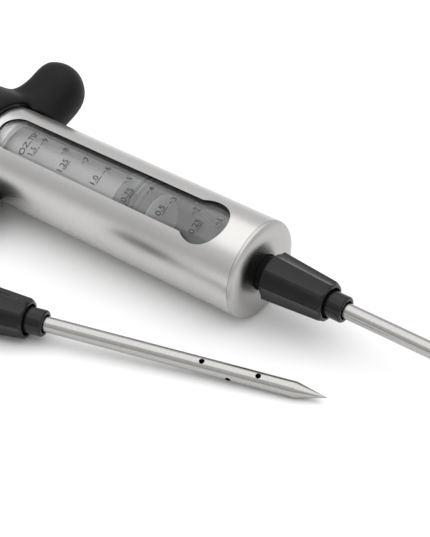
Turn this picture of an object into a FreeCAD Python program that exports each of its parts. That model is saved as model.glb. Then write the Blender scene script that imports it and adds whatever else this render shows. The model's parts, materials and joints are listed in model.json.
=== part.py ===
"""Hand-held meat injector with two needles, as a parametric FreeCAD document.

Frame: the barrel's axis is the X axis, +X points to the needle tip and +Z up. The origin is on
that axis where the needle shaft leaves its hub. The injector lies on its side on a table, rolled
about X until one finger wing touches the table, and the second needle lies in front of it.
Every turned piece is drawn in its own XZ plane, as x along the axis and y as the radius, with x
counted from the front edge of the steel sleeve. Its Placement then brings it to the frame.
"""
import FreeCAD, Part
import Sketcher
import math
import os
import re

from FreeCAD import Placement, Rotation, Vector

X_AXIS = Vector(1, 0, 0)

# Driving dimensions, in millimetres and degrees. Places along the axis are x coordinates.
SIZES = {
    # steel sleeve and its sight window
    "sleeve_radius": 16.0,
    "sleeve_wall": 0.8,
    "sleeve_rear": -105.2,
    "window_half": 6.46,
    "window_rear": -101.6,
    "keyhole_place": -16.6,
    "keyhole_radius": 8.15,
    # domed nose
    "nose_rim": 0.1,
    "nose_face": 2.4,
    "nose_flat_radius": 11.15,
    "shoulder_place": 1.3,
    "shoulder_radius": 15.25,
    "shoulder_round": 1.5,
    "dome_round": 8.2,
    "nose_wall": 1.0,
    "nose_hole_radius": 5.9,
    "register_length": 4.0,
    "register_wall": 0.65,
    # clear cylinder
    "cylinder_radius": 15.0,
    "bore_radius": 13.2,
    "chamber_front": -2.87,
    "cylinder_front": -0.4,
    "cylinder_step": -4.3,
    "cylinder_step_radius": 14.3,
    "cylinder_rear": -112.0,
    "cylinder_mouth": -101.6,
    "mouth_radius": 14.2,
    "outlet_radius": 3.0,
    # threads
    "rear_pitch": 3.0,
    "rear_thread_start": -110.8,
    "rear_thread_length": 7.5,
    "front_pitch": 2.0,
    "front_thread_start": 7.4,
    "front_thread_length": 8.5,
    "thread_sink": 0.15,
    # threaded outlet spigot
    "spigot_flange_radius": 8.5,
    "spigot_flange_rear": 0.3,
    "spigot_neck_radius": 5.6,
    "spigot_neck_front": 5.2,
    "spigot_core_radius": 4.6,
    "spigot_crest_radius": 5.3,
    "spigot_front": 17.0,
    "passage_radius": 1.6,
    # needle set
    "hub_rear": 17.9,
    "hub_flange_front": 20.3,
    "hub_flange_radius": 5.0,
    "hub_radius": 4.15,
    "hub_front": 32.0,
    "hub_round": 0.7,
    "hub_recess": 1.2,
    "hub_recess_radius": 3.0,
    "socket_rear": 21.0,
    "needle_radius": 2.45,
    "needle_root_radius": 2.2,
    "needle_bore": 1.75,
    "needle_length": 88.6,
    "point_length": 9.5,
    "side_hole_radius": 0.85,
    "side_hole_first": 20.8,
    "side_hole_pitch": 8.65,
    "washer_gap": 0.05,
    "washer_radius": 4.7,
    # fluted nut
    "nut_rear": 5.4,
    "nut_front": 26.5,
    "rim_radius": 7.1,
    "rim_width": 0.6,
    "nut_rear_radius": 8.0,
    "nut_front_radius": 6.5,
    "nut_round": 1.4,
    "nut_root_radius": 5.55,
    "nut_crest_radius": 4.85,
    "nut_shoulder": 20.6,
    "nut_guide_radius": 4.22,
    "nut_recess": 23.0,
    "nut_recess_radius": 4.95,
    "flute_depth": 0.7,
    "flute_rise": 1.45,
    "flute_rear_radius": 15.0,
    "flute_front_radius": 7.6,
    "flute_count": 9,
    # threaded rear plug, bush, wiper and grip
    "plug_nose": -99.0,
    "plug_nose_radius": 13.0,
    "plug_front": -105.0,
    "plug_shoulder": -113.0,
    "plug_rear": -120.0,
    "plug_core_radius": 13.3,
    "plug_crest_radius": 14.0,
    "mouth_crest_radius": 13.55,
    "plug_flange_radius": 15.0,
    "plug_bore": 11.0,
    "running_gap": 0.05,
    "core_front": -105.6,
    "core_radius": 17.2,
    "core_bore": 15.3,
    "wiper_seat": -124.4,
    "wiper_seat_radius": 12.8,
    "wiper_radius": 12.6,
    "wiper_width": 2.8,
    "grip_rear": -130.0,
    "core_rear_bore": 10.6,
    "grip_radius": 19.4,
    "grip_neck_radius": 18.3,
    "wing_place": -108.8,
    "wing_reach": 27.0,
    "wing_tip_radius": 12.0,
    "wing_thickness": 16.0,
    "wing_round": 7.6,
    "sleeve_clearance": 0.4,
    # plunger, at the 0.7 oz mark
    "piston_front": -40.9,
    "piston_rear": -46.7,
    "piston_radius": 13.08,
    "piston_step": -40.3,
    "piston_step_radius": 11.6,
    "disc_front": -38.5,
    "disc_thickness": 1.6,
    "disc_radius": 9.4,
    "disc_proud": 0.3,
    "disc_rim": 0.5,
    "first_ring": -42.0,
    "second_ring": -44.1,
    "ring_radius": 12.6,
    "ring_section": 0.55,
    "groove_half": 0.65,
    "groove_floor": 12.0,
    "retainer_rear": -50.0,
    "retainer_radius": 12.9,
    "stud_radius": 2.95,
    "stud_hole": 3.0,
    "stud_front": -42.5,
    "tube_radius": 9.75,
    "tube_wall": 1.2,
    "tube_plug_length": 8.0,
    "knob_front": -177.5,
    "knob_rear": -193.0,
    "knob_radius": 19.0,
    "knob_round": 5.0,
    "knob_core_radius": 15.0,
    "knob_core_length": 11.0,
    "knob_stem": 13.0,
    # how the pieces lie
    "roll": 22.0,
    "table_slope": 1.85,
    "spare_heading": 17.7,
    "spare_spin": 20.0,
    "spare_tip_x": 41.9,
    "spare_tip_y": -22.6,
}

doc = FreeCAD.newDocument("MeatInjector")
PARTS = []


def write_sheet():
    """One row per driving dimension: its name, and its value with the name as alias."""
    sheet = doc.addObject("Spreadsheet::Sheet", "Size")
    for row, (name, value) in enumerate(SIZES.items(), start=1):
        sheet.set(f"A{row}", name)
        sheet.set(f"B{row}", str(value))
        sheet.setAlias(f"B{row}", name)
    doc.recompute()
    return sheet


def bound(text):
    """Point every name in an expression at its cell of the sheet."""
    return re.sub(r"\b[a-z_]+\b(?!\()", lambda name: "Size." + name.group(), text)


def value(text):
    """The number that an expression gives now."""
    return float(SHEET.evalExpression(bound(text)))


def tool_placement():
    """The injector's roll about its own axis, with the needle's root brought to the origin."""
    return Placement(Vector(-value("hub_front"), 0, 0), Rotation(X_AXIS, value("roll")))


def table_placement():
    """The table, which meets the nose's lower edge and slopes down to meet the grip."""
    return Placement(Vector(-value("hub_front"), 0, -value("sleeve_radius")),
                     Rotation(Vector(0, 1, 0), -value("table_slope")))


def spare_placement():
    """The second needle rests on two ridges of its nut and on the front end of its shaft."""
    shaft_front = value("hub_front + needle_length - point_length")
    span = shaft_front - value("nut_rear + rim_width")
    foot = value("nut_rear_radius") * math.cos(math.pi / value("flute_count"))
    dip = math.asin((foot - value("needle_radius")) / span)
    tip_height = value("needle_radius") * math.cos(dip) - value("point_length") * math.sin(dip)
    turn = Rotation(Vector(0, 0, 1), value("spare_heading"))
    turn = turn.multiply(Rotation(Vector(0, 1, 0), math.degrees(dip)))
    turn = turn.multiply(Rotation(X_AXIS, value("spare_spin")))
    tip = Vector(value("spare_tip_x"), value("spare_tip_y"), tip_height)
    tip_reach = turn.multVec(Vector(value("hub_front + needle_length"), 0, 0))
    return table_placement().multiply(Placement(tip - tip_reach, turn))


def new_body(label):
    body = doc.addObject("PartDesign::Body", label)
    body.Label = label
    PARTS.append(body)
    return body


def new_sketch(body, role, offset=None):
    """A sketch on one of the body's origin planes, moved along the plane's normal by offset."""
    plane = next(item for item in body.Origin.OriginFeatures if item.Role == role)
    sketch = body.newObject("Sketcher::SketchObject", "Sketch")
    sketch.AttachmentSupport = [(plane, "")]
    sketch.MapMode = "FlatFace"
    if offset:
        sketch.setExpression("AttachmentOffset.Base.z", bound(offset))
    return sketch


def arc_between(start, end, radius):
    """Arc from start to end; a positive radius bulges to the left of the way along it."""
    middle = (start + end) * 0.5
    chord = end - start
    left = Vector(-chord.y, chord.x, 0).normalize()
    rise = abs(radius) - math.sqrt(radius ** 2 - (chord.Length / 2) ** 2)
    top = middle + left * math.copysign(rise, radius)
    return Part.Arc(start, top, end)


def outline(sketch, corners):
    """Closed outline through corners given as (x, y), or (x, y, radius) where an arc arrives."""
    points = [Vector(value(corner[0]), value(corner[1]), 0) for corner in corners]
    edges = []
    for index, corner in enumerate(corners):
        start = points[index - 1]
        end = points[index]
        if len(corner) == 3:
            edges.append(sketch.addGeometry(arc_between(start, end, value(corner[2]))))
            bind(sketch, "Radius", (edges[-1],), corner[2].lstrip("-"))
        else:
            edges.append(sketch.addGeometry(Part.LineSegment(start, end)))
    for index, corner in enumerate(corners):
        arrival = (edges[index], nearest_end(sketch, edges[index], points[index]))
        leaving = edges[(index + 1) % len(edges)]
        departure = (leaving, nearest_end(sketch, leaving, points[index]))
        sketch.addConstraint(Sketcher.Constraint("Coincident", *arrival, *departure))
        bind(sketch, "DistanceX", (-1, 1, *arrival), corner[0])
        bind(sketch, "DistanceY", (-1, 1, *arrival), corner[1])


def nearest_end(sketch, edge, point):
    """1 for an edge's first end or 2 for its second, whichever lies at the point."""
    return min((1, 2), key=lambda end: sketch.getPoint(edge, end).distanceToPoint(point))


def bind(sketch, kind, where, expression):
    """Add one dimension to a sketch and drive it from the sheet."""
    index = sketch.addConstraint(Sketcher.Constraint(kind, *where, value(expression)))
    sketch.setExpression(f"Constraints[{index}]", bound(expression))


def circle(sketch, x, y, radius):
    """One circle, placed and sized from the sheet."""
    ring = sketch.addGeometry(Part.Circle(Vector(value(x), value(y), 0), Vector(0, 0, 1), value(radius)))
    bind(sketch, "Radius", (ring,), radius)
    bind(sketch, "DistanceX", (-1, 1, ring, 3), x)
    bind(sketch, "DistanceY", (-1, 1, ring, 3), y)


def revolve(body, corners, kind="PartDesign::Revolution"):
    """Turn an outline once round the body's own X axis."""
    sketch = new_sketch(body, "XZ_Plane")
    outline(sketch, corners)
    feature = body.newObject(kind, "Turn")
    feature.Profile = sketch
    feature.ReferenceAxis = (sketch, ["H_Axis"])
    feature.Angle = 360
    return feature


def turned(label, corners):
    """A piece that is one turned outline."""
    body = new_body(label)
    revolve(body, corners)
    return body


def tube(label, rear, front, inner, outer):
    """A plain ring or tube between two places on the axis."""
    return turned(label, [(rear, inner), (rear, outer), (front, outer), (front, inner)])


def thread(body, start, length, pitch, root, crest):
    """A helical ridge with sloping flanks, from inside the wall at root out to its crest."""
    sketch = new_sketch(body, "XZ_Plane")
    inward = "-" if value(crest) > value(root) else "+"
    foot = f"{root} {inward} thread_sink"
    outline(sketch, [
        (f"{start} - {pitch} * 0.22", foot),
        (f"{start} - {pitch} * 0.1", crest),
        (f"{start} + {pitch} * 0.1", crest),
        (f"{start} + {pitch} * 0.22", foot),
    ])
    ridge = body.newObject("PartDesign::AdditiveHelix", "Thread")
    ridge.Profile = sketch
    ridge.ReferenceAxis = (sketch, ["H_Axis"])
    ridge.Mode = 0
    ridge.setExpression("Pitch", bound(pitch))
    ridge.setExpression("Height", bound(length))


def barrel_sleeve():
    """Steel tube with a long sight window that ends in a keyhole near the nose."""
    body = tube("barrel_sleeve", "sleeve_rear", "0", "sleeve_radius - sleeve_wall", "sleeve_radius")
    neck = "keyhole_place - sqrt(keyhole_radius ^ 2 - window_half ^ 2)"
    bend = "window_rear + window_half"
    sketch = new_sketch(body, "XY_Plane")
    outline(sketch, [
        (neck, "-window_half", "keyhole_radius"),
        (bend, "-window_half"),
        ("window_rear", "0", "window_half"),
        (bend, "window_half", "window_half"),
        (neck, "window_half"),
        ("keyhole_place + keyhole_radius", "0", "keyhole_radius"),
    ])
    window = body.newObject("PartDesign::Pocket", "Window")
    window.Profile = sketch
    window.Type = "ThroughAll"
    window.Reversed = True


def nose_cap():
    """Domed steel end of the barrel, with a register ring that centres it in the sleeve."""
    ring = "sleeve_radius - sleeve_wall - running_gap"
    turned("nose_cap", [
        ("nose_face", "nose_hole_radius"),
        ("nose_face", "nose_flat_radius"),
        ("shoulder_place", "shoulder_radius", "-dome_round"),
        ("nose_rim", "sleeve_radius", "-shoulder_round"),
        ("nose_rim", ring),
        ("-register_length", ring),
        ("-register_length", f"{ring} - register_wall"),
        ("shoulder_place - nose_wall / 2", f"{ring} - register_wall"),
        ("nose_face - nose_wall", "nose_flat_radius"),
        ("nose_face - nose_wall", "nose_hole_radius"),
    ])


def clear_cylinder():
    """Clear liner: marinade bore, front wall with the outlet hole, and threaded rear mouth."""
    body = turned("clear_cylinder", [
        ("cylinder_rear", "mouth_radius"),
        ("cylinder_rear", "cylinder_radius"),
        ("cylinder_step", "cylinder_radius"),
        ("cylinder_step", "cylinder_step_radius"),
        ("cylinder_front", "cylinder_step_radius"),
        ("cylinder_front", "outlet_radius"),
        ("chamber_front", "outlet_radius"),
        ("chamber_front", "bore_radius"),
        ("cylinder_mouth", "bore_radius"),
        ("cylinder_mouth", "mouth_radius"),
    ])
    thread(body, "rear_thread_start", "rear_thread_length", "rear_pitch",
           "mouth_radius", "mouth_crest_radius")


def nose_spigot():
    """Threaded outlet clamped between the cylinder's front wall and the nose."""
    body = turned("nose_spigot", [
        ("chamber_front", "passage_radius"),
        ("chamber_front", "outlet_radius - running_gap"),
        ("spigot_flange_rear", "outlet_radius - running_gap"),
        ("spigot_flange_rear", "spigot_flange_radius"),
        ("nose_face - nose_wall", "spigot_flange_radius"),
        ("nose_face - nose_wall", "spigot_neck_radius"),
        ("spigot_neck_front", "spigot_neck_radius"),
        ("spigot_neck_front", "spigot_core_radius"),
        ("spigot_front", "spigot_core_radius"),
        ("spigot_front", "passage_radius"),
    ])
    thread(body, "front_thread_start", "front_thread_length", "front_pitch",
           "spigot_core_radius", "spigot_crest_radius")


def needle_hub(label):
    """Black collar moulded round the root of a needle, with the flange that the nut clamps."""
    return turned(label, [
        ("hub_rear", "passage_radius"),
        ("hub_rear", "hub_flange_radius"),
        ("hub_flange_front", "hub_flange_radius"),
        ("hub_flange_front", "hub_radius"),
        ("hub_front - hub_round", "hub_radius"),
        ("hub_front", "hub_radius - hub_round", "hub_round"),
        ("hub_front", "hub_recess_radius"),
        ("hub_front - hub_recess", "hub_recess_radius"),
        ("hub_front - hub_recess", "needle_root_radius"),
        ("socket_rear", "needle_root_radius"),
        ("socket_rear", "passage_radius"),
    ])


def needle_tube(label):
    """Steel needle with a closed conical point and cross-drilled side holes in two planes."""
    body = new_body(label)
    tip = "hub_front + needle_length"
    revolve(body, [
        ("socket_rear", "needle_bore"),
        ("socket_rear", "needle_root_radius"),
        ("hub_front", "needle_root_radius"),
        ("hub_front", "needle_radius"),
        (f"{tip} - point_length", "needle_radius"),
        (tip, "0"),
        (f"{tip} - point_length", "0"),
        (f"{tip} - point_length - needle_bore", "needle_bore"),
    ])
    last_hole = f"{tip} - side_hole_first"
    first_hole = f"{last_hole} - side_hole_pitch * 2"
    drill(body, "XY_Plane", [first_hole, last_hole])
    drill(body, "XZ_Plane", [f"{last_hole} - side_hole_pitch"])
    return body


def drill(body, role, places):
    """Holes right through the needle, square to one of its planes."""
    sketch = new_sketch(body, role)
    for place in places:
        circle(sketch, place, "0", "side_hole_radius")
    holes = body.newObject("PartDesign::Pocket", "SideHoles")
    holes.Profile = sketch
    holes.Type = "ThroughAll"
    holes.Midplane = True


def hub_washer(label):
    """Flat sealing washer between the spigot's end and the hub."""
    return tube(label, "spigot_front + washer_gap", "hub_rear", "passage_radius + washer_gap",
                "washer_radius")


def needle_nut(label):
    """Tapered nut with a thin rear rim, shallow flutes, an internal thread and a recess."""
    body = new_body(label)
    revolve(body, [
        ("nut_rear", "nut_root_radius"),
        ("nut_rear", "rim_radius"),
        ("nut_rear + rim_width", "rim_radius"),
        ("nut_rear + rim_width", "nut_rear_radius"),
        ("nut_front - nut_round", "nut_front_radius"),
        ("nut_front", "nut_front_radius - nut_round", "nut_round"),
        ("nut_front", "nut_recess_radius"),
        ("nut_recess", "nut_recess_radius"),
        ("nut_recess", "nut_guide_radius"),
        ("nut_shoulder", "nut_guide_radius"),
        ("nut_shoulder", "nut_root_radius"),
    ])
    thread(body, "front_thread_start + front_pitch / 2", "front_thread_length", "front_pitch",
           "nut_root_radius", "nut_crest_radius")
    cut_flutes(body)
    return body


def flute_outline(body, place, nut_radius, floor_radius):
    """Section of the flute cutter: a round floor with a flat top outside the nut."""
    sketch = new_sketch(body, "YZ_Plane", place)
    top = f"{nut_radius} - flute_depth + flute_rise"
    half = f"sqrt(2 * {floor_radius} * flute_rise - flute_rise ^ 2)"
    outline(sketch, [(f"-{half}", top), (half, top, f"-{floor_radius}")])
    return sketch


def cut_flutes(body):
    """Flutes that follow the nut's taper from the rim to the front, with ridges between."""
    rear = flute_outline(body, "nut_rear + rim_width", "nut_rear_radius", "flute_rear_radius")
    front = flute_outline(body, "nut_front + flute_depth", "nut_front_radius",
                          "flute_front_radius")
    flute = body.newObject("PartDesign::SubtractiveLoft", "Flute")
    flute.Profile = rear
    flute.Sections = [front]
    pattern = body.newObject("PartDesign::PolarPattern", "Flutes")
    pattern.Originals = [flute]
    pattern.Axis = (rear, ["N_Axis"])
    pattern.Angle = 360
    pattern.setExpression("Occurrences", bound("flute_count"))
    body.Tip = pattern


def rear_plug():
    """White threaded plug that closes the cylinder's rear mouth and carries the bush."""
    body = turned("rear_plug", [
        ("plug_nose", "plug_bore"),
        ("plug_nose", "plug_nose_radius"),
        ("plug_front", "plug_nose_radius"),
        ("plug_front", "plug_core_radius"),
        ("plug_shoulder", "plug_core_radius"),
        ("plug_shoulder", "plug_flange_radius"),
        ("plug_rear", "plug_flange_radius"),
        ("plug_rear", "plug_bore"),
    ])
    thread(body, "rear_thread_start + rear_pitch / 2", "3", "rear_pitch",
           "plug_core_radius", "plug_crest_radius")


def grip_core():
    """Rigid core of the grip: skirt round the cylinder, seat for the wiper, rear wall."""
    turned("grip_core", [
        ("core_front", "core_bore"),
        ("core_front", "core_radius"),
        ("grip_rear", "core_radius"),
        ("grip_rear", "core_rear_bore"),
        ("wiper_seat", "core_rear_bore"),
        ("wiper_seat", "wiper_seat_radius"),
        ("plug_rear", "wiper_seat_radius"),
        ("plug_rear", "core_bore"),
    ])


def finger_grip():
    """Soft black grip: two rounded finger wings on a waisted hub over the rigid core."""
    body = new_body("finger_grip")
    sketch = new_sketch(body, "XY_Plane")
    front = "wing_place + wing_tip_radius"
    rear = "wing_place - wing_tip_radius"
    tip = "(wing_reach + wing_tip_radius)"
    outline(sketch, [
        (rear, "-wing_reach"),
        ("wing_place", f"-{tip}", "-wing_tip_radius"),
        (front, "-wing_reach", "-wing_tip_radius"),
        (front, "wing_reach"),
        ("wing_place", tip, "-wing_tip_radius"),
        (rear, "wing_reach", "-wing_tip_radius"),
    ])
    wings = body.newObject("PartDesign::Pad", "Wings")
    wings.Profile = sketch
    wings.Midplane = True
    wings.setExpression("Length", bound("wing_thickness"))
    doc.recompute()
    rounding = body.newObject("PartDesign::Fillet", "WingRounding")
    flat_edges = [f"Edge{index}" for index, edge in enumerate(wings.Shape.Edges, start=1)
                  if edge.BoundBox.ZLength < 0.001]
    rounding.Base = (wings, flat_edges)
    rounding.setExpression("Radius", bound("wing_round"))
    revolve(body, [
        ("core_front", "core_radius - 1"),
        ("core_front", "grip_neck_radius"),
        ("wing_place", "grip_radius"),
        ("(wing_place + grip_rear) / 2", "grip_radius"),
        ("grip_rear", "grip_neck_radius"),
        ("grip_rear", "core_radius - 1"),
    ])
    for rear_end, front_end, radius in (
            ("grip_rear - 1", "core_front", "core_radius"),
            ("core_front", "wing_place + wing_tip_radius * 2", "sleeve_radius + sleeve_clearance")):
        revolve(body, [(rear_end, "0"), (rear_end, radius), (front_end, radius), (front_end, "0")],
                "PartDesign::Groove")


def piston_body():
    """Piston with a bevelled front, a seat for its disc, two ring grooves and a stud hole."""
    corners = [
        ("piston_rear", "stud_hole"),
        ("piston_rear", "piston_radius"),
    ]
    for place in ("second_ring", "first_ring"):
        corners += [
            (f"{place} - groove_half", "piston_radius"),
            (f"{place} - groove_half", "groove_floor"),
            (f"{place} + groove_half", "groove_floor"),
            (f"{place} + groove_half", "piston_radius"),
        ]
    corners += [
        ("piston_front", "piston_radius"),
        ("piston_step", "piston_step_radius"),
        ("piston_step + disc_rim", "piston_step_radius"),
        ("disc_front - disc_proud", "disc_radius + disc_rim"),
        ("disc_front - disc_proud", "disc_radius + running_gap"),
        ("disc_front - disc_thickness", "disc_radius + running_gap"),
        ("disc_front - disc_thickness", "0"),
        ("stud_front + running_gap", "0"),
        ("stud_front + running_gap", "stud_hole"),
    ]
    turned("piston_body", corners)


def piston_disc():
    """Pale disc set into the piston's front."""
    turned("piston_disc", [
        ("disc_front - disc_thickness", "0"),
        ("disc_front - disc_thickness", "disc_radius"),
        ("disc_front", "disc_radius"),
        ("disc_front", "0"),
    ])


def piston_ring(label, place):
    """Round-section sealing ring."""
    body = new_body(label)
    sketch = new_sketch(body, "XZ_Plane")
    circle(sketch, place, "ring_radius", "ring_section")
    turn = body.newObject("PartDesign::Revolution", "Turn")
    turn.Profile = sketch
    turn.ReferenceAxis = (sketch, ["H_Axis"])
    turn.Angle = 360


def rod_end():
    """Plug in the plunger tube's front end, with the stud that holds the piston."""
    turned("rod_end", [
        ("retainer_rear - tube_plug_length", "0"),
        ("retainer_rear - tube_plug_length", "tube_radius - tube_wall"),
        ("retainer_rear", "tube_radius - tube_wall"),
        ("retainer_rear", "stud_radius"),
        ("stud_front", "stud_radius"),
        ("stud_front", "0"),
    ])


def knob_core():
    """Rigid disc of the thumb knob with a stem pressed into the plunger tube."""
    turned("knob_core", [
        ("knob_front - knob_core_length", "0"),
        ("knob_front - knob_core_length", "knob_core_radius"),
        ("knob_front", "knob_core_radius"),
        ("knob_front", "tube_radius - tube_wall"),
        ("knob_front + knob_stem", "tube_radius - tube_wall"),
        ("knob_front + knob_stem", "0"),
    ])


def knob_cover():
    """Soft rounded cover over the knob's disc."""
    turned("knob_cover", [
        ("knob_rear", "0"),
        ("knob_rear", "knob_radius - knob_round"),
        ("knob_rear + knob_round", "knob_radius", "knob_round"),
        ("knob_front - 2", "knob_radius"),
        ("knob_front", "knob_radius - 2", "2"),
        ("knob_front", "knob_core_radius"),
        ("knob_front - knob_core_length", "knob_core_radius"),
        ("knob_front - knob_core_length", "0"),
    ])


def injector():
    """Every piece of the injector itself, in order from the nose to the knob."""
    nose_cap()
    barrel_sleeve()
    clear_cylinder()
    nose_spigot()
    tube("outlet_gasket", "cylinder_front", "spigot_flange_rear", "outlet_radius", "spigot_flange_radius")
    needle_hub("needle_hub")
    needle_tube("needle_tube")
    hub_washer("hub_washer")
    needle_nut("needle_nut")
    rear_plug()
    tube("plug_gasket", "plug_shoulder", "cylinder_rear - running_gap", "plug_core_radius + running_gap",
         "plug_flange_radius")
    tube("rod_bush", "plug_rear", "plug_front", "tube_radius + running_gap", "plug_bore")
    tube("rod_wiper", "plug_rear - wiper_width - 0.5", "plug_rear - 0.5",
         "tube_radius + running_gap", "wiper_radius")
    grip_core()
    finger_grip()
    piston_body()
    piston_disc()
    piston_ring("front_piston_ring", "first_ring")
    piston_ring("rear_piston_ring", "second_ring")
    tube("piston_retainer", "retainer_rear", "piston_rear", "stud_hole", "retainer_radius")
    rod_end()
    tube("plunger_tube", "knob_front", "retainer_rear", "tube_radius - tube_wall", "tube_radius")
    knob_core()
    knob_cover()
    return list(PARTS)


def spare_needle():
    """The second needle with its own hub, washer and nut."""
    return [needle_hub("spare_hub"), needle_tube("spare_needle"), hub_washer("spare_washer"),
            needle_nut("spare_nut")]


def check_and_export():
    """Stop on any failed object, then write one STEP file per piece."""
    for item in doc.Objects:
        if any(state in ("Invalid", "Error") for state in item.State):
            raise RuntimeError(f"{item.Label} did not compute: {item.State}")
    for piece in PARTS:
        if piece.Shape.isNull() or not piece.Shape.isValid() or len(piece.Shape.Solids) != 1:
            raise RuntimeError(f"{piece.Label} is not one valid solid")
    os.makedirs("parts", exist_ok=True)
    for piece in PARTS:
        piece.Shape.exportStep(f"parts/{piece.Label}.step")


SHEET = write_sheet()
for piece in injector():
    piece.Placement = tool_placement().multiply(piece.Placement)
for piece in spare_needle():
    piece.Placement = spare_placement()
doc.recompute()
check_and_export()
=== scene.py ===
"""A meat injector on a white table, with its spare needle beside it.

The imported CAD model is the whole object. This script gives every CAD node its material,
puts the moulded finger grip and the printed scale on it, and lights it.
Sizes are in metres. The tool's axis is the X axis, with the needle pointing to +X.
"""

import json
import math

import bmesh
import bpy
import numpy as np
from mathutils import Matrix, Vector

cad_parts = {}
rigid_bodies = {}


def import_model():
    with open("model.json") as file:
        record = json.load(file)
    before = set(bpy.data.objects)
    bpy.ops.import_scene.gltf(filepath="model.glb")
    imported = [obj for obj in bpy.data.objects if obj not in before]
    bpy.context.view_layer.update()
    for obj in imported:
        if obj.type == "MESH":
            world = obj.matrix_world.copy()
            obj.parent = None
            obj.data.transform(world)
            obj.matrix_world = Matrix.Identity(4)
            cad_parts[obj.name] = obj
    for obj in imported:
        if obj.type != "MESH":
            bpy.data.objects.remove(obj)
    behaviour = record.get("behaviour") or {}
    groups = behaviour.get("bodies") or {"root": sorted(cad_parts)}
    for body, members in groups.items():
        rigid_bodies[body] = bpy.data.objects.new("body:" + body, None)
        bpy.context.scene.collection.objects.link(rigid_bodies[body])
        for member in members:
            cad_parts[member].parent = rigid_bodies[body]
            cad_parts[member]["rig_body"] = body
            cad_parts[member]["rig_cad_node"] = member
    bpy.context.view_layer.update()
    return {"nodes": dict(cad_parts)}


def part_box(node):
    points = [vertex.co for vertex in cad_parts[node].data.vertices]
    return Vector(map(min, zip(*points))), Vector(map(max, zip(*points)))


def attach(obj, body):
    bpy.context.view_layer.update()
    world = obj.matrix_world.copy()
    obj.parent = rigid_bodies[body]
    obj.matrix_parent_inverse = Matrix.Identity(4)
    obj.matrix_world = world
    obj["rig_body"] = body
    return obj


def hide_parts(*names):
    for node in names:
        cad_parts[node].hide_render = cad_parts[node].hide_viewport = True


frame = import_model()

MM = 0.001
nodes = frame["nodes"]

# The barrel's front end is where the camera, the table and the scale are placed from.
sleeve_low, sleeve_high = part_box("barrel_sleeve")
nose = Vector((sleeve_high.x, 0, 0))


# ---------------------------------------------------------------- camera, table and light


def place_camera():
    """A long lens looks down on the nose from the right of the tool."""
    lens_data = bpy.data.cameras.new("camera")
    lens_data.lens = 95.3
    lens_data.sensor_width = 36
    camera = bpy.data.objects.new("camera", lens_data)
    bpy.context.scene.collection.objects.link(camera)
    look_down = math.radians(37.5)
    turn = math.radians(38.2)
    camera.rotation_euler = (math.pi / 2 - look_down, 0, turn)
    nose_in_view = Vector((13.2 * MM, -0.2 * MM, -430.3 * MM))
    camera.location = nose - camera.rotation_euler.to_matrix() @ nose_in_view
    bpy.context.scene.camera = camera


def place_table():
    """The table touches the lower edge of the nose and rises a little towards the needle."""
    slope = math.radians(1.85)
    half = 4.0
    mesh = bpy.data.meshes.new("table")
    corners = [(-half, -half, 0), (half, -half, 0), (half, half, 0), (-half, half, 0)]
    mesh.from_pydata(corners, [], [(0, 1, 2, 3)])
    table = bpy.data.objects.new("table", mesh)
    bpy.context.scene.collection.objects.link(table)
    table.rotation_euler = (0, -slope, 0)
    table.location = (nose.x, 0, sleeve_low.z)
    surface = Surface("table_white")
    surface.set("Base Color", (0.96, 0.96, 0.96, 1))
    surface.set("Roughness", 0.55)
    surface.set("Specular IOR Level", 0.25)
    mesh.materials.append(surface.material)


def area_light(name, position, target, size, power):
    """A rectangular lamp at position, turned to target, with its two sides in size."""
    lamp_data = bpy.data.lights.new(name, "AREA")
    lamp_data.shape = "RECTANGLE"
    lamp_data.size = size[0]
    lamp_data.size_y = size[1]
    lamp_data.energy = power
    lamp = bpy.data.objects.new(name, lamp_data)
    bpy.context.scene.collection.objects.link(lamp)
    lamp.location = position
    aim = Vector(target) - Vector(position)
    lamp.rotation_euler = aim.to_track_quat("-Z", "Y").to_euler()


def remapped(tree, value, start, end, low, high):
    """value from start to end, as a number from low to high, eased at both ends."""
    remap = tree.nodes.new("ShaderNodeMapRange")
    remap.interpolation_type = "SMOOTHSTEP"
    remap.inputs["From Min"].default_value = start
    remap.inputs["From Max"].default_value = end
    remap.inputs["To Min"].default_value = low
    remap.inputs["To Max"].default_value = high
    tree.links.new(value, remap.inputs["Value"])
    return remap.outputs["Result"]


def light_studio():
    """A white room, a little darker low on the near side, and one wide soft box overhead."""
    bpy.context.scene.view_settings.view_transform = "Standard"
    world = bpy.data.worlds.new("studio")
    bpy.context.scene.world = world
    world.use_nodes = True
    tree = world.node_tree
    room = tree.nodes["Background"]
    room.inputs["Color"].default_value = (1, 1, 1, 1)
    look = tree.nodes.new("ShaderNodeTexCoord")
    split = tree.nodes.new("ShaderNodeSeparateXYZ")
    tree.links.new(look.outputs["Generated"], split.inputs["Vector"])
    near_side = remapped(tree, split.outputs["Y"], -0.2, -0.6, 0, 1)
    low_down = remapped(tree, split.outputs["Z"], 0.2, 0.5, 1, 0)
    strip = tree.nodes.new("ShaderNodeMath")
    strip.operation = "MULTIPLY"
    tree.links.new(near_side, strip.inputs[0])
    tree.links.new(low_down, strip.inputs[1])
    brightness = remapped(tree, strip.outputs["Value"], 0, 1, 0.80, 0.60)
    tree.links.new(brightness, room.inputs["Strength"])
    area_light("overhead", (-0.12, 0.03, 0.9), (-0.12, 0, 0), size=(2.0, 1.5), power=8.8)


# ---------------------------------------------------------------- materials


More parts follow.
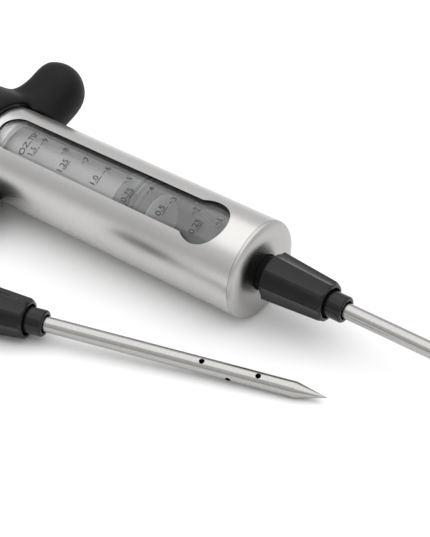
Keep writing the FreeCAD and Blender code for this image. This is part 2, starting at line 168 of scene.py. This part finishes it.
class Surface:
    """A material with one Principled shader, and short ways to wire nodes into it."""

    def __init__(self, name):
        self.material = bpy.data.materials.new(name)
        self.material.use_nodes = True
        self.tree = self.material.node_tree
        self.shader = self.tree.nodes["Principled BSDF"]

    def set(self, socket, value):
        self.shader.inputs[socket].default_value = value

    def node(self, kind, **settings):
        made = self.tree.nodes.new("ShaderNode" + kind)
        for key, value in settings.items():
            setattr(made, key, value)
        return made

    def join(self, source, target):
        self.tree.links.new(source, target)

    def place(self, scale):
        """The point in the row frame, stretched by scale along each axis."""
        here = self.node("TexCoord")
        stretch = self.node("Mapping")
        stretch.inputs["Scale"].default_value = scale
        self.join(here.outputs["Object"], stretch.inputs["Vector"])
        return stretch.outputs["Vector"]

    def noise(self, scale, detail=3, roughness=0.5):
        """Noise whose grain is about 1 / scale metres along each axis."""
        grain = self.node("TexNoise")
        grain.inputs["Scale"].default_value = 1
        grain.inputs["Detail"].default_value = detail
        grain.inputs["Roughness"].default_value = roughness
        self.join(self.place(scale), grain.inputs["Vector"])
        return grain.outputs["Fac"]

    def range(self, value, low, high, start=0.3, end=0.7):
        """value from start to end, as a number from low to high."""
        remap = self.node("MapRange")
        remap.inputs["From Min"].default_value = start
        remap.inputs["From Max"].default_value = end
        remap.inputs["To Min"].default_value = low
        remap.inputs["To Max"].default_value = high
        self.join(value, remap.inputs["Value"])
        return remap.outputs["Result"]

    def colours(self, value, dark, light, start=0.3, end=0.7):
        """value from start to end, as a colour from dark to light."""
        ramp = self.node("ValToRGB")
        ramp.color_ramp.elements[0].position = start
        ramp.color_ramp.elements[0].color = (*dark, 1)
        ramp.color_ramp.elements[1].position = end
        ramp.color_ramp.elements[1].color = (*light, 1)
        self.join(value, ramp.inputs["Fac"])
        return ramp.outputs["Color"]

    def bump(self, height, depth):
        """Raises the surface by depth metres where height is 1."""
        relief = self.node("Bump")
        relief.inputs["Distance"].default_value = depth
        self.join(height, relief.inputs["Height"])
        return relief.outputs["Normal"]

    def math(self, operation, first, second):
        """Two values combined by a named operation."""
        combined = self.node("Math", operation=operation)
        self.join(first, combined.inputs[0])
        self.join(second, combined.inputs[1])
        return combined.outputs["Value"]

    def blend(self, value, first, second):
        """The colour first where value is 0, and the colour output second where it is 1."""
        mix = self.node("MixRGB")
        self.join(value, mix.inputs["Fac"])
        mix.inputs["Color1"].default_value = (*first, 1)
        self.join(second, mix.inputs["Color2"])
        return mix.outputs["Color"]

    def feed(self, output, socket):
        self.join(output, self.shader.inputs[socket])


def brushed_steel(name, grain, dark, light, rough, turned=0.0):
    """Finely brushed steel. grain is how many lines a metre crosses along X, Y and Z.

    turned is how far the shine is stretched across the marks of turning.
    """
    steel = Surface(name)
    steel.set("Metallic", 1.0)
    lines = steel.noise(grain, detail=4, roughness=0.65)
    cloud = steel.noise((45, 45, 45), detail=2)
    steel.feed(steel.colours(lines, dark, light, 0.25, 0.75), "Base Color")
    steel.feed(steel.range(cloud, rough[0], rough[1]), "Roughness")
    steel.feed(steel.bump(lines, 0.0006 * MM), "Normal")
    if turned:
        steel.set("Anisotropic", turned)
        along = steel.node("Tangent", direction_type="RADIAL", axis="X")
        steel.feed(along.outputs["Tangent"], "Tangent")
    return steel


def paint_roof_shade(shell, wall):
    """Paints shade on the sleeve's inner wall and cut edge above the sight window: they turn near
    black there.
    """
    across = shell.node("VectorMath", operation="LENGTH")
    shell.join(shell.place((0, 1, 1)), across.inputs[0])
    outside = shell.range(across.outputs["Value"], 0, 1, wall - 0.15 * MM, wall - 0.05 * MM)
    split = shell.node("SeparateXYZ")
    shell.join(shell.place((1, 1, 1)), split.inputs["Vector"])
    below = shell.range(split.outputs["Z"], 1, 0, 2 * MM, 8 * MM)
    # Painted shade: the steel colour stays on the outer skin and low down; the inner wall and cut
    # edge above turn near black.
    unshaded_steel = shell.math("MAXIMUM", outside, below)
    steel = shell.shader.inputs["Base Color"].links[0].from_socket
    shell.feed(shell.blend(unshaded_steel, (0.02, 0.02, 0.02), steel), "Base Color")


def moulded_plastic(name, dark, light, rough, grain=900, depth=0.01 * MM, gloss=0.5):
    """Moulded plastic with a fine spark-eroded grain and slight unevenness."""
    plastic = Surface(name)
    plastic.set("Specular IOR Level", gloss)
    cloud = plastic.noise((60, 60, 60), detail=3)
    pores = plastic.noise((grain, grain, grain), detail=2, roughness=0.6)
    plastic.feed(plastic.colours(cloud, dark, light), "Base Color")
    plastic.feed(plastic.range(pores, rough[0], rough[1]), "Roughness")
    plastic.feed(plastic.bump(pores, depth), "Normal")
    return plastic


def soft_rubber(name, dark, light, rough, gloss=0.35):
    """Rubber with a matt skin and a soft bloom at grazing angles."""
    rubber = moulded_plastic(name, dark, light, rough, grain=1400, depth=0.02 * MM, gloss=gloss)
    rubber.set("Sheen Weight", 0.03)
    rubber.set("Sheen Roughness", 0.45)
    return rubber


def clear_plastic(name):
    """Slightly milky plastic that bends light, and lets lamps shine through it."""
    clear = Surface(name)
    clear.set("Transmission Weight", 0.97)
    clear.set("IOR", 1.49)
    tint = (0.85, 0.855, 0.855, 1)
    clear.set("Base Color", tint)
    haze = clear.noise((70, 70, 70), detail=3)
    clear.feed(clear.range(haze, 0.02, 0.05), "Roughness")
    open_way = clear.node("BsdfTransparent")
    open_way.inputs["Color"].default_value = tint
    ray = clear.node("LightPath")
    choose = clear.node("MixShader")
    clear.join(ray.outputs["Is Shadow Ray"], choose.inputs["Fac"])
    clear.join(clear.shader.outputs["BSDF"], choose.inputs[1])
    clear.join(open_way.outputs["BSDF"], choose.inputs[2])
    clear.join(choose.outputs["Shader"], clear.tree.nodes["Material Output"].inputs["Surface"])
    return clear


def dress(surface, *names):
    """Gives a material to CAD nodes."""
    for name in names:
        slots = nodes[name].data.materials
        slots.clear()
        slots.append(surface.material)


def dress_nodes():
    """Gives every CAD node its material. Gives back the grip's, which its visible skin shares."""
    shell = brushed_steel(
        "shell_steel", (9000, 120, 120), (0.51, 0.505, 0.495), (0.58, 0.57, 0.558), (0.26, 0.32),
        turned=0.5,
    )
    # Painted shade above the sight window, on the sleeve's inner wall and cut edge.
    paint_roof_shade(shell, sleeve_high.z)
    dress(shell, "barrel_sleeve")
    # The nose cap's steel is brushed in rings. Its colour is darker than the sleeve's, which paints
    # the shade of the shadowed table it reflects.
    face = brushed_steel(
        "nose_steel_painted_shade", (300, 5000, 5000), (0.42, 0.415, 0.405), (0.52, 0.512, 0.50), (0.30, 0.38),
        turned=0.75,
    )
    dress(face, "nose_cap")
    needle = brushed_steel(
        "needle_steel", (6000, 900, 900), (0.37, 0.363, 0.352), (0.47, 0.462, 0.448), (0.18, 0.28)
    )
    dress(needle, "needle_tube", "spare_needle")
    plunger = brushed_steel(
        "plunger_steel", (8000, 150, 150), (0.43, 0.43, 0.425), (0.51, 0.51, 0.505), (0.66, 0.74)
    )
    dress(plunger, "plunger_tube")
    dress(clear_plastic("cylinder_clear"), "clear_cylinder")
    hard_black = moulded_plastic(
        "hard_black", (0.004, 0.004, 0.0045), (0.008, 0.008, 0.0085), (0.18, 0.28), gloss=0.3
    )
    dress(hard_black, "needle_nut", "needle_hub", "spare_nut", "spare_hub")
    dress(hard_black, "grip_core", "knob_core", "rod_end")
    soft_black = soft_rubber(
        "soft_black", (0.004, 0.004, 0.004), (0.008, 0.008, 0.0078), (0.45, 0.58), gloss=0.12
    )
    dress(soft_black, "finger_grip", "knob_cover")
    # The spigot is black plastic. It is also darker and duller than the other black parts, which
    # paints the nut's shadow on it.
    shaded_spigot_black = moulded_plastic(
        "shaded_spigot_black", (0.003, 0.003, 0.003), (0.006, 0.006, 0.006), (0.5, 0.6), gloss=0.1
    )
    dress(shaded_spigot_black, "nose_spigot")
    white = moulded_plastic("white_plastic", (0.72, 0.72, 0.71), (0.80, 0.80, 0.79), (0.35, 0.45))
    dress(white, "rear_plug", "rod_bush")
    grey = moulded_plastic(
        "grey_plastic", (0.09, 0.091, 0.093), (0.12, 0.121, 0.123), (0.35, 0.45)
    )
    dress(grey, "piston_body", "piston_retainer")
    pale = moulded_plastic("pale_plastic", (0.64, 0.64, 0.64), (0.72, 0.72, 0.72), (0.35, 0.45))
    dress(pale, "piston_disc")
    seal = soft_rubber("seal_rubber", (0.02, 0.02, 0.022), (0.04, 0.04, 0.042), (0.35, 0.5))
    dress(seal, "front_piston_ring", "rear_piston_ring", "plug_gasket", "rod_wiper")
    silicone = soft_rubber("clear_silicone", (0.50, 0.50, 0.48), (0.66, 0.66, 0.63), (0.35, 0.5))
    dress(silicone, "outlet_gasket", "hub_washer", "spare_washer")
    return soft_black


# ---------------------------------------------------------------- finger grip


def soften(mesh, rounds, firm_radius):
    """Moves each point towards its neighbours, except within firm_radius of the tool's axis."""
    points = np.empty(len(mesh.vertices) * 3)
    mesh.vertices.foreach_get("co", points)
    points = points.reshape(-1, 3)
    pairs = np.empty(len(mesh.edges) * 2, np.int64)
    mesh.edges.foreach_get("vertices", pairs)
    pairs = pairs.reshape(-1, 2)
    count = np.bincount(pairs.ravel(), minlength=len(points))[:, None]
    reach = np.hypot(points[:, 1], points[:, 2])
    free = np.clip((reach - firm_radius) / (1.0 * MM), 0, 1)[:, None]
    for _ in range(rounds):
        total = np.zeros_like(points)
        np.add.at(total, pairs[:, 0], points[pairs[:, 1]])
        np.add.at(total, pairs[:, 1], points[pairs[:, 0]])
        points += 0.5 * free * (total / count - points)
    mesh.vertices.foreach_set("co", points.ravel())
    mesh.update()


def narrow_wings(skin, front, squeeze, root, tip):
    """Draws the wings' rear flanks forward, most halfway between the root and the tip."""
    for vertex in skin.vertices:
        reach = math.hypot(vertex.co.y, vertex.co.z)
        share = min(max((reach - root) / (tip - root), 0), 1)
        vertex.co.x += (front - vertex.co.x) * squeeze * math.sin(math.pi * share)


def make_finger_grip(surface):
    """The soft grip in one smooth skin: its wings flow into the hub with no crease."""
    grip = nodes["finger_grip"].copy()
    grip.data = grip.data.copy()
    grip.name = "soft_finger_grip"
    grip.parent = None
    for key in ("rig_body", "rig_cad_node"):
        del grip[key]
    bpy.context.scene.collection.objects.link(grip)
    remesh = grip.modifiers.new("even_skin", "REMESH")
    remesh.mode = "VOXEL"
    remesh.voxel_size = 0.7 * MM
    graph = bpy.context.evaluated_depsgraph_get()
    skin = bpy.data.meshes.new_from_object(grip.evaluated_get(graph))
    grip.modifiers.clear()
    grip.data = skin
    core_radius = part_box("grip_core")[1].z
    soften(skin, rounds=36, firm_radius=core_radius + 0.6 * MM)
    wing_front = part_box("finger_grip")[1].x
    narrow_wings(skin, wing_front, squeeze=0.13, root=18.5 * MM, tip=36 * MM)
    skin.shade_smooth()
    skin.materials.clear()
    skin.materials.append(surface.material)
    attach(grip, "grip")
    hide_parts("finger_grip")


# ---------------------------------------------------------------- printed scale


def flat_glyphs(text, height, squeeze=1.0):
    """Points and faces of a line of text whose figures are height tall, with its length."""
    curve = bpy.data.curves.new("glyphs", "FONT")
    curve.body = text
    curve.extrude = 0.5
    curve.offset = 0.015
    curve.resolution_u = 3
    writing = bpy.data.objects.new("glyphs", curve)
    bpy.context.scene.collection.objects.link(writing)
    bpy.context.view_layer.update()
    graph = bpy.context.evaluated_depsgraph_get()
    mesh = bpy.data.meshes.new_from_object(writing.evaluated_get(graph))
    points = [vertex.co.copy() for vertex in mesh.vertices]
    faces = [tuple(face.vertices) for face in mesh.polygons]
    bpy.data.objects.remove(writing)
    figure_height = 0.7
    size = height / figure_height
    left = min(point.x for point in points)
    right = max(point.x for point in points)
    flat = [((point.x - left) * size * squeeze, point.y * size, point.z) for point in points]
    return flat, faces, (right - left) * size * squeeze


def flat_bar(length, width):
    """Points and faces of a straight printed line."""
    sections = 6
    points = []
    for step in range(sections + 1):
        along = length * step / sections
        points += [(along, 0, -0.5), (along, width, -0.5), (along, width, 0.5), (along, 0, 0.5)]
    faces = [(3, 2, 1, 0)]
    for step in range(sections):
        first = step * 4
        for side in range(4):
            after = (side + 1) % 4
            faces.append((first + side, first + after, first + 4 + after, first + 4 + side))
    last = sections * 4
    faces.append((last, last + 1, last + 2, last + 3))
    return points, faces, length


class Print:
    """Ink on the clear cylinder. A mark reads round the cylinder, with its top to the rear."""

    def __init__(self, name, surface):
        self.name = name
        self.surface = surface
        self.points = []
        self.faces = []
        self.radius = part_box("clear_cylinder")[1].z + 0.03 * MM
        self.thickness = 0.03 * MM

    def add(self, mark, place, angle):
        """place is how far behind the nose the mark's foot lies. angle is from +Z to its middle."""
        flat, faces, length = mark
        first = len(self.points)
        for along, up, deep in flat:
            turn = math.radians(angle) + (along - length / 2) / self.radius
            reach = self.radius + deep * self.thickness
            across = reach * math.sin(turn)
            self.points.append((nose.x - place - up, across, reach * math.cos(turn)))
        self.faces += [tuple(first + corner for corner in face) for face in faces]

    def finish(self):
        mesh = bpy.data.meshes.new(self.name)
        mesh.from_pydata(self.points, [], self.faces)
        shell = bmesh.new()
        shell.from_mesh(mesh)
        bmesh.ops.remove_doubles(shell, verts=shell.verts, dist=0.0005 * MM)
        bmesh.ops.recalc_face_normals(shell, faces=shell.faces)
        shell.to_mesh(mesh)
        shell.free()
        mesh.materials.append(self.surface.material)
        ink = bpy.data.objects.new(self.name, mesh)
        bpy.context.scene.collection.objects.link(ink)
        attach(ink, "barrel")


def print_scale():
    """Fluid ounces on the near side and teaspoons above them, 6 teaspoons to the ounce.

    Lengths are along the tool, from the nose. Angles are in degrees round it, from +Z.
    """
    ink = moulded_plastic("scale_ink", (0.030, 0.030, 0.032), (0.055, 0.055, 0.057), (0.45, 0.6))
    quarter_ounce = 13.48 * MM
    first_quarter = 16.6 * MM
    figure = 2.1 * MM
    stroke = 0.3 * MM
    figure_gap = 0.55 * MM
    ounce_angle = -33.3
    underline_angle = -31.2
    ounces = Print("ounce_scale", ink)
    for count, text in enumerate(("0.25", "0.5", "0.75", "1.0", "1.25", "1.5")):
        place = first_quarter + count * quarter_ounce
        ounces.add(flat_glyphs(text, figure), place + figure_gap, ounce_angle)
        ounces.add(flat_bar(3.4 * MM, stroke), place - stroke / 2, underline_angle)
    heading = 88.0 * MM
    ounces.add(flat_glyphs("OZ.", figure, 1.15), heading, -33.2)
    ounces.finish()
    teaspoon = quarter_ounce / 1.5
    first_teaspoon = 12.3 * MM
    spoon_angle = -12.3
    dash_angle = -19
    spoons = Print("teaspoon_scale", ink)
    for count in range(9):
        place = first_teaspoon + count * teaspoon
        spoons.add(flat_glyphs(str(count + 1), figure), place - figure / 2, spoon_angle)
        spoons.add(flat_bar(1.1 * MM, stroke), place - stroke / 2, dash_angle)
    spoons.add(flat_glyphs("TSP.", figure, 0.75), heading, -14)
    spoons.finish()


place_camera()
place_table()
light_studio()
soft_black = dress_nodes()
make_finger_grip(soft_black)
print_scale()
